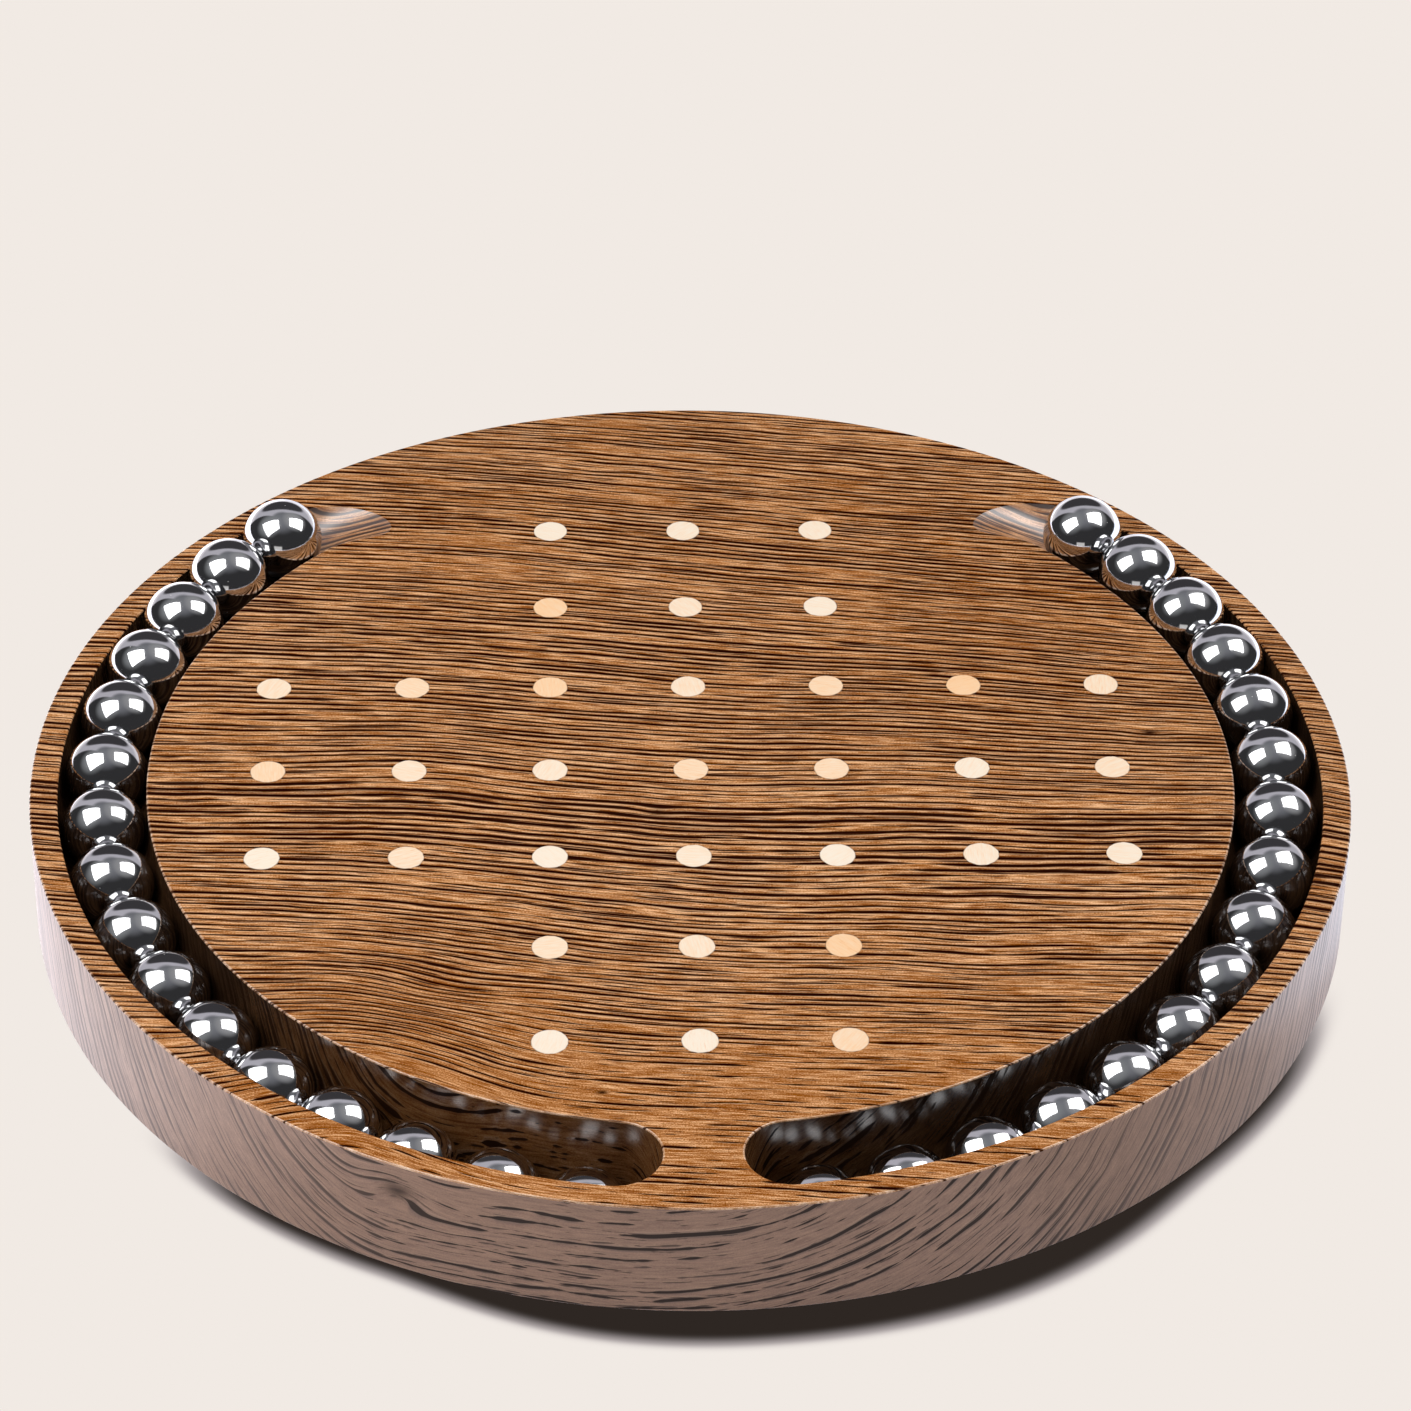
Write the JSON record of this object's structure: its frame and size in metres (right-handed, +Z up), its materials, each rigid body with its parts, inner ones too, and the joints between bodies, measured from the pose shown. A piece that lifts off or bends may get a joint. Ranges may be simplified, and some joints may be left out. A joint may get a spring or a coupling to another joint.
{
  "type": "solitaire board with steel balls",
  "caption": "Round oak solitaire board with pale flush marks and steel balls lying in two sloping channels along its rim.",
  "frame": {"origin": "middle of the footprint, on the surface that the felt feet stand on", "axes": "+Z up out of the playing surface, +Y away from the player, +X to the player's right"},
  "size_m": [0.3, 0.3, 0.0406],
  "materials": {
    "oak": "satin oil, brown, with dark open pores",
    "maple": "satin, sanded flush",
    "steel": "polished ball-bearing steel",
    "nickel": "nickel-plated magnet",
    "felt": "dense dark felt"
  },
  "bodies": {
    "board": {"board": "oak", "marks_row_1": "maple", "marks_row_2": "maple", "marks_row_3": "maple", "marks_row_4": "maple", "marks_row_5": "maple", "marks_row_6": "maple", "marks_row_7": "maple", "magnets_row_1": "nickel", "magnets_row_2": "nickel", "magnets_row_3": "nickel", "magnets_row_4": "nickel", "magnets_row_5": "nickel", "magnets_row_6": "nickel", "magnets_row_7": "nickel", "foot_front_left": "felt", "foot_front_right": "felt", "foot_back_left": "felt", "foot_back_right": "felt"},
    "ball_left_01": {"ball_left_01": "steel"},
    "ball_left_02": {"ball_left_02": "steel"},
    "ball_left_03": {"ball_left_03": "steel"},
    "ball_left_04": {"ball_left_04": "steel"},
    "ball_left_05": {"ball_left_05": "steel"},
    "ball_left_06": {"ball_left_06": "steel"},
    "ball_left_07": {"ball_left_07": "steel"},
    "ball_left_08": {"ball_left_08": "steel"},
    "ball_left_09": {"ball_left_09": "steel"},
    "ball_left_10": {"ball_left_10": "steel"},
    "ball_left_11": {"ball_left_11": "steel"},
    "ball_left_12": {"ball_left_12": "steel"},
    "ball_left_13": {"ball_left_13": "steel"},
    "ball_left_14": {"ball_left_14": "steel"},
    "ball_left_15": {"ball_left_15": "steel"},
    "ball_left_16": {"ball_left_16": "steel"},
    "ball_right_01": {"ball_right_01": "steel"},
    "ball_right_02": {"ball_right_02": "steel"},
    "ball_right_03": {"ball_right_03": "steel"},
    "ball_right_04": {"ball_right_04": "steel"},
    "ball_right_05": {"ball_right_05": "steel"},
    "ball_right_06": {"ball_right_06": "steel"},
    "ball_right_07": {"ball_right_07": "steel"},
    "ball_right_08": {"ball_right_08": "steel"},
    "ball_right_09": {"ball_right_09": "steel"},
    "ball_right_10": {"ball_right_10": "steel"},
    "ball_right_11": {"ball_right_11": "steel"},
    "ball_right_12": {"ball_right_12": "steel"},
    "ball_right_13": {"ball_right_13": "steel"},
    "ball_right_14": {"ball_right_14": "steel"},
    "ball_right_15": {"ball_right_15": "steel"},
    "ball_right_16": {"ball_right_16": "steel"}
  },
  "joints": [
    {"name": "ball_left_01_lift", "type": "slide", "parent": "board", "child": "ball_left_01", "axis": [0, 0, 1], "range_m": [0, 0.045]},
    {"name": "ball_left_02_lift", "type": "slide", "parent": "board", "child": "ball_left_02", "axis": [0, 0, 1], "range_m": [0, 0.045]},
    {"name": "ball_left_03_lift", "type": "slide", "parent": "board", "child": "ball_left_03", "axis": [0, 0, 1], "range_m": [0, 0.045]},
    {"name": "ball_left_04_lift", "type": "slide", "parent": "board", "child": "ball_left_04", "axis": [0, 0, 1], "range_m": [0, 0.045]},
    {"name": "ball_left_05_lift", "type": "slide", "parent": "board", "child": "ball_left_05", "axis": [0, 0, 1], "range_m": [0, 0.045]},
    {"name": "ball_left_06_lift", "type": "slide", "parent": "board", "child": "ball_left_06", "axis": [0, 0, 1], "range_m": [0, 0.045]},
    {"name": "ball_left_07_lift", "type": "slide", "parent": "board", "child": "ball_left_07", "axis": [0, 0, 1], "range_m": [0, 0.045]},
    {"name": "ball_left_08_lift", "type": "slide", "parent": "board", "child": "ball_left_08", "axis": [0, 0, 1], "range_m": [0, 0.045]},
    {"name": "ball_left_09_lift", "type": "slide", "parent": "board", "child": "ball_left_09", "axis": [0, 0, 1], "range_m": [0, 0.045]},
    {"name": "ball_left_10_lift", "type": "slide", "parent": "board", "child": "ball_left_10", "axis": [0, 0, 1], "range_m": [0, 0.045]},
    {"name": "ball_left_11_lift", "type": "slide", "parent": "board", "child": "ball_left_11", "axis": [0, 0, 1], "range_m": [0, 0.045]},
    {"name": "ball_left_12_lift", "type": "slide", "parent": "board", "child": "ball_left_12", "axis": [0, 0, 1], "range_m": [0, 0.045]},
    {"name": "ball_left_13_lift", "type": "slide", "parent": "board", "child": "ball_left_13", "axis": [0, 0, 1], "range_m": [0, 0.045]},
    {"name": "ball_left_14_lift", "type": "slide", "parent": "board", "child": "ball_left_14", "axis": [0, 0, 1], "range_m": [0, 0.045]},
    {"name": "ball_left_15_lift", "type": "slide", "parent": "board", "child": "ball_left_15", "axis": [0, 0, 1], "range_m": [0, 0.045]},
    {"name": "ball_left_16_lift", "type": "slide", "parent": "board", "child": "ball_left_16", "axis": [0, 0, 1], "range_m": [0, 0.045]},
    {"name": "ball_right_01_lift", "type": "slide", "parent": "board", "child": "ball_right_01", "axis": [0, 0, 1], "range_m": [0, 0.045]},
    {"name": "ball_right_02_lift", "type": "slide", "parent": "board", "child": "ball_right_02", "axis": [0, 0, 1], "range_m": [0, 0.045]},
    {"name": "ball_right_03_lift", "type": "slide", "parent": "board", "child": "ball_right_03", "axis": [0, 0, 1], "range_m": [0, 0.045]},
    {"name": "ball_right_04_lift", "type": "slide", "parent": "board", "child": "ball_right_04", "axis": [0, 0, 1], "range_m": [0, 0.045]},
    {"name": "ball_right_05_lift", "type": "slide", "parent": "board", "child": "ball_right_05", "axis": [0, 0, 1], "range_m": [0, 0.045]},
    {"name": "ball_right_06_lift", "type": "slide", "parent": "board", "child": "ball_right_06", "axis": [0, 0, 1], "range_m": [0, 0.045]},
    {"name": "ball_right_07_lift", "type": "slide", "parent": "board", "child": "ball_right_07", "axis": [0, 0, 1], "range_m": [0, 0.045]},
    {"name": "ball_right_08_lift", "type": "slide", "parent": "board", "child": "ball_right_08", "axis": [0, 0, 1], "range_m": [0, 0.045]},
    {"name": "ball_right_09_lift", "type": "slide", "parent": "board", "child": "ball_right_09", "axis": [0, 0, 1], "range_m": [0, 0.045]},
    {"name": "ball_right_10_lift", "type": "slide", "parent": "board", "child": "ball_right_10", "axis": [0, 0, 1], "range_m": [0, 0.045]},
    {"name": "ball_right_11_lift", "type": "slide", "parent": "board", "child": "ball_right_11", "axis": [0, 0, 1], "range_m": [0, 0.045]},
    {"name": "ball_right_12_lift", "type": "slide", "parent": "board", "child": "ball_right_12", "axis": [0, 0, 1], "range_m": [0, 0.045]},
    {"name": "ball_right_13_lift", "type": "slide", "parent": "board", "child": "ball_right_13", "axis": [0, 0, 1], "range_m": [0, 0.045]},
    {"name": "ball_right_14_lift", "type": "slide", "parent": "board", "child": "ball_right_14", "axis": [0, 0, 1], "range_m": [0, 0.045]},
    {"name": "ball_right_15_lift", "type": "slide", "parent": "board", "child": "ball_right_15", "axis": [0, 0, 1], "range_m": [0, 0.045]},
    {"name": "ball_right_16_lift", "type": "slide", "parent": "board", "child": "ball_right_16", "axis": [0, 0, 1], "range_m": [0, 0.045]}
  ]
}
